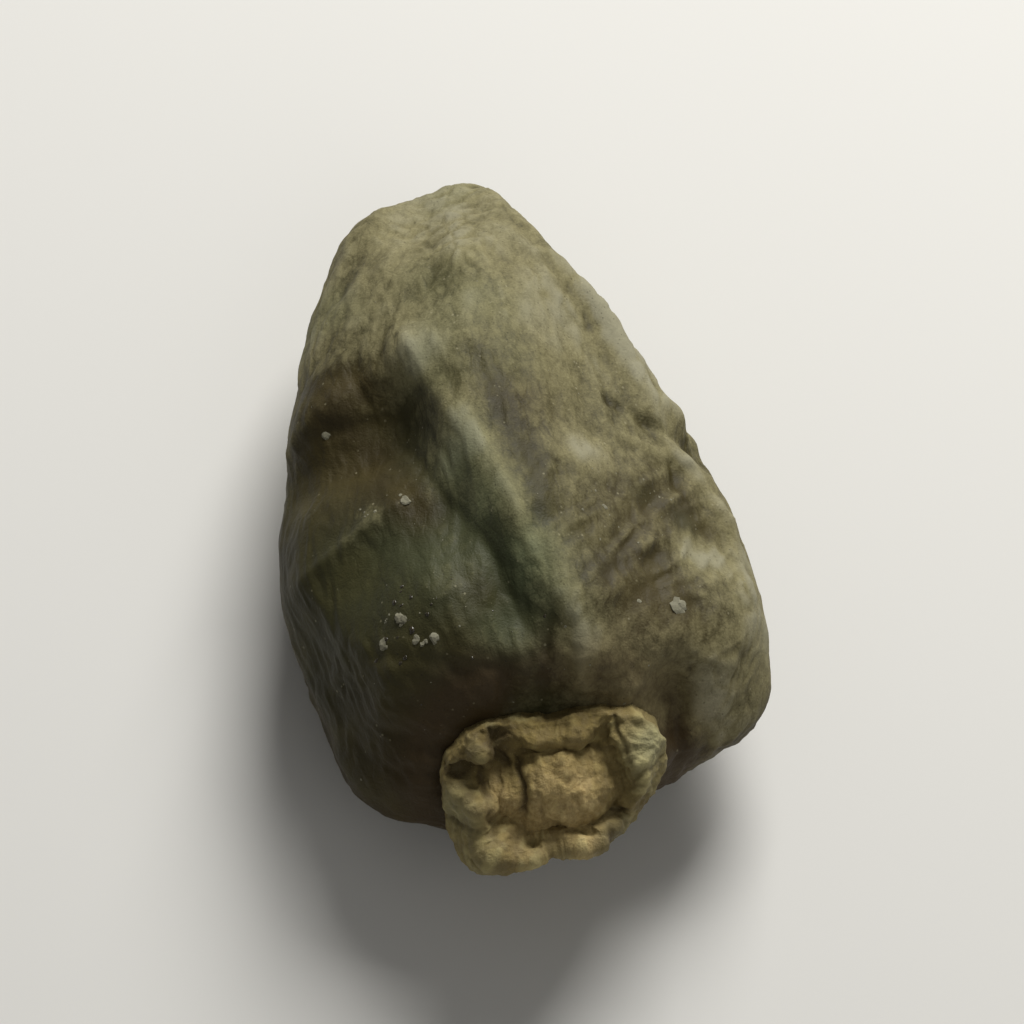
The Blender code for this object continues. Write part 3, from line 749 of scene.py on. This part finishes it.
def flesh_material():
    flesh = Recipe("withered_flesh_dry")
    pale, pith, hollow_shade, edge = flesh.tones("flesh_tones")
    mottle = flesh.between(flesh.clouds(MOTTLE_SIZE, detail=6.0, roughness=0.62), 0.30, 0.70)
    fibre = flesh.clouds(FIBRE_SIZE, roughness=0.7)
    grain = flesh.clouds(GRAIN_SIZE, detail=2.0)
    tan = flesh.blend(mottle, TAN_DARK, TAN_LIGHT)
    rind = flesh.blend(mottle, RIND_DARK, RIND_LIGHT)
    core = flesh.blend(flesh.between(fibre, 0.30, 0.70), PITH_DARK, PITH_LIGHT)
    colour = flesh.blend(pale, tan, rind)
    colour = flesh.blend(pith, colour, core)
    colour = flesh.blend(flesh.times(edge, EDGE_SHARE), colour, EDGE_COLOUR)
    # Painted shade in the hollows and grooves.
    colour = flesh.blend(flesh.times(hollow_shade, HOLLOW_SHADE_SHARE), colour, HOLLOW_SHADE_COLOUR)
    colour = flesh.blend(flesh.between(grain, 0.58, 0.80, 0.0, GRAIN_SHARE), colour, GRAIN_LIGHT)
    colour = flesh.blend(flesh.between(grain, 0.42, 0.22, 0.0, GRAIN_SHARE), colour, GRAIN_DARK)
    flesh.join(colour, flesh.shader.inputs["Base Color"])
    flesh.join(flesh.between(mottle, 0.2, 0.8, 0.72, 0.95), flesh.shader.inputs["Roughness"])
    flesh.bump((fibre, 0.00012, 0.7), (grain, 0.00004, 0.6))
    return flesh.material


receptacle_crust = crusted_copy(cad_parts["receptacle"], "receptacle_crust", CRUST_CELL)
grow_in(receptacle_crust)
push_out(receptacle_crust, crust_relief, "flesh_tones")
finish_piece(receptacle_crust, flesh_material())
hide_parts("receptacle")


# ---- Beads of resin, and crumbs of dust with painted glints ----------------------------------------
# Black resin that seeped through the shell and set in small glossy beads, most on the oily swelling,
# and angular crumbs of dust and dried flesh that stuck to the crests. The largest crumbs are pale
# painted glints, set where highlights shine. Both are half sunk in the skin.

# Each lump drops straight down on the skin from a height above the nut, and has knobs of its own.
DROP_HEIGHT = 0.005
KNOBS_ROUND, KNOB_SPREAD = 1.1, 9
BEAD_SEED, CRUMB_SEED = 7, 11

# Place on the face, how far they scatter, how many, and how large, in metres.
BEAD_CLUSTERS = (
    ((-0.50, -0.48), 0.0006, 5, 0.00011),
    ((-0.44, -0.58), 0.0005, 5, 0.00012),
    ((-0.57, -0.62), 0.0004, 4, 0.00010),
    ((-0.30, -0.60), 0.0018, 10, 0.00006),
)
# Painted highlights: the pale crumbs of 0.15 mm and more stand in for glints; the small ones are dust.
CRUMB_AND_GLINT_CLUSTERS = (
    ((-0.52, -0.56), 0.00016, 4, 0.00022),
    ((-0.46, -0.64), 0.00016, 4, 0.00021),
    ((-0.62, -0.61), 0.00014, 3, 0.00019),
    ((-0.55, -0.52), 0.0006, 6, 0.00007),
    ((-0.46, -0.18), 0.0001, 2, 0.00015),
    ((-0.61, -0.18), 0.0003, 5, 0.00007),
    ((-0.75, 0.12), 0.0001, 1, 0.00016),
    ((0.63, -0.58), 0.0001, 2, 0.00030),
    ((0.43, -0.58), 0.0001, 1, 0.00018),
    ((0.36, -0.29), 0.0001, 1, 0.00016),
    ((0.42, -0.30), 0.0010, 8, 0.00005),
    ((0.66, -0.20), 0.0007, 6, 0.00005),
    ((0.10, -0.84), 0.0016, 10, 0.00006),
    ((-0.30, -0.86), 0.0016, 8, 0.00005),
    ((0.00, 0.00), 0.0070, 90, 0.00003),
)


def stuck_on(skin, clusters, seed, flatness, jaggedness, sunk_share):
    """Little lumps scattered over the top of a skin, as one mesh."""
    draw = random.Random(seed)
    lumps = bmesh.new()
    for place, scatter, count, size in clusters:
        for _ in range(count):
            aside = Vector((draw.gauss(0, scatter), draw.gauss(0, scatter), nut_high.z + DROP_HEIGHT))
            spot, normal, *_ = skin.ray_cast(on_face(place).to_3d() + aside, Vector((0, 0, -1)))
            radius = size * draw.uniform(0.5, 1.2)
            stretch = Vector((draw.uniform(0.7, 1.3), draw.uniform(0.7, 1.3), flatness))
            spin = Matrix.Rotation(draw.uniform(0, math.tau), 3, "Z")
            key = Vector((draw.random(), draw.random(), draw.random())) * KNOB_SPREAD
            if spot is None:
                continue
            lie = normal.to_track_quat("Z", "Y").to_matrix() @ spin
            made = bmesh.ops.create_icosphere(lumps, subdivisions=2, radius=1)
            for vert in made["verts"]:
                rough = 1 + jaggedness * noise.noise(vert.co * KNOBS_ROUND + key)
                vert.co = lie @ (vert.co * rough * stretch * radius)
                vert.co += spot - normal * radius * flatness * sunk_share
    mesh = bpy.data.meshes.new("lumps")
    lumps.to_mesh(mesh)
    lumps.free()
    return mesh


def mottled_material(name, size, colours, roughnesses, bump_depth, bump_strength):
    """A finish that is mottled from one colour and roughness to another."""
    finish = Recipe(name)
    mottle = finish.clouds(size, detail=3.0)
    finish.join(finish.blend(mottle, *colours), finish.shader.inputs["Base Color"])
    finish.join(finish.between(mottle, 0.3, 0.7, *roughnesses), finish.shader.inputs["Roughness"])
    finish.bump((mottle, bump_depth, bump_strength))
    return finish.material


shell_skin = BVHTree.FromObject(nut_shell, bpy.context.evaluated_depsgraph_get())
set_resin = mottled_material(
    "set_resin", size=0.00012, colours=((0.012, 0.010, 0.006), (0.050, 0.040, 0.022)),
    roughnesses=(0.10, 0.28), bump_depth=0.00001, bump_strength=0.4)
resin_beads = shown("resin_beads", stuck_on(
    shell_skin, BEAD_CLUSTERS, BEAD_SEED, flatness=0.50, jaggedness=0.6, sunk_share=0.35))
resin_beads.data.shade_smooth()
finish_piece(resin_beads, set_resin)
# Painted glints: one pale dusty finish for the crumbs and for the glints they stand in for.
crumb_and_glint_finish = mottled_material(
    "crumb_and_glint_paint", size=0.00008, colours=((0.105, 0.098, 0.064), (0.25, 0.238, 0.168)),
    roughnesses=(0.7, 0.95), bump_depth=0.00003, bump_strength=0.6)
crumbs_and_glints = shown("crumbs_and_glints", stuck_on(
    shell_skin, CRUMB_AND_GLINT_CLUSTERS, CRUMB_SEED, flatness=0.45, jaggedness=0.7, sunk_share=0.3))
finish_piece(crumbs_and_glints, crumb_and_glint_finish)


# ---- The table, the light and the camera -----------------------------------------------------------
# A plain pale table under a large soft lamp beyond the apex, with a faint one on the near side, and a
# camera that looks down on the nut along the photograph's line of sight.

CAMERA_AZIMUTH, CAMERA_ELEVATION = math.radians(-6.3), math.radians(63)
CAMERA_DISTANCE, CAMERA_LENS = 0.30, 250
TABLE_HALF_SIZE = 2.0

table_mesh = bpy.data.meshes.new("pale_table")
table_bm = bmesh.new()
bmesh.ops.create_grid(table_bm, x_segments=1, y_segments=1, size=TABLE_HALF_SIZE)
table_bm.to_mesh(table_mesh)
table_bm.free()
pale_table = shown("pale_table", table_mesh)
table_paint = bpy.data.materials.new("pale_table_paint")
table_paint.use_nodes = True
paint_shader = table_paint.node_tree.nodes["Principled BSDF"]
paint_shader.inputs["Base Color"].default_value = (0.66, 0.655, 0.64, 1)
paint_shader.inputs["Roughness"].default_value = 0.8
pale_table.data.materials.append(table_paint)

object_middle = (cad_box[0] + cad_box[1]) / 2


def soft_lamp(name, place, size, power, colour):
    """A square lamp that faces the nut."""
    light = bpy.data.lights.new(name, "AREA")
    light.shape = "SQUARE"
    light.size = size
    light.energy = power
    light.color = colour
    lamp = bpy.data.objects.new(name, light)
    bpy.context.scene.collection.objects.link(lamp)
    lamp.location = place
    lamp.rotation_mode = "QUATERNION"
    lamp.rotation_quaternion = (object_middle - Vector(place)).to_track_quat("-Z", "Y")


soft_lamp("window_lamp", (0.09, 0.20, 0.20), size=0.15, power=1.25, colour=(1.0, 0.985, 0.94))
soft_lamp("front_lamp", (0.10, -0.22, 0.22), size=0.25, power=0.12, colour=(1.0, 1.0, 0.97))

room = bpy.data.worlds.new("pale_room")
room.use_nodes = True
room_glow = room.node_tree.nodes["Background"]
room_glow.inputs["Color"].default_value = (1.0, 0.98, 0.93, 1)
room_glow.inputs["Strength"].default_value = 0.15
bpy.context.scene.world = room
bpy.context.scene.view_settings.view_transform = "Standard"

camera = bpy.data.objects.new("camera", bpy.data.cameras.new("camera"))
bpy.context.scene.collection.objects.link(camera)
toward_camera = Vector((
    math.sin(CAMERA_AZIMUTH) * math.cos(CAMERA_ELEVATION),
    -math.cos(CAMERA_AZIMUTH) * math.cos(CAMERA_ELEVATION),
    math.sin(CAMERA_ELEVATION)))
camera.data.lens = CAMERA_LENS
camera.data.clip_start = 0.01
camera.location = object_middle + toward_camera * CAMERA_DISTANCE
camera.rotation_mode = "QUATERNION"
camera.rotation_quaternion = (-toward_camera).to_track_quat("-Z", "Y")
bpy.context.scene.camera = camera
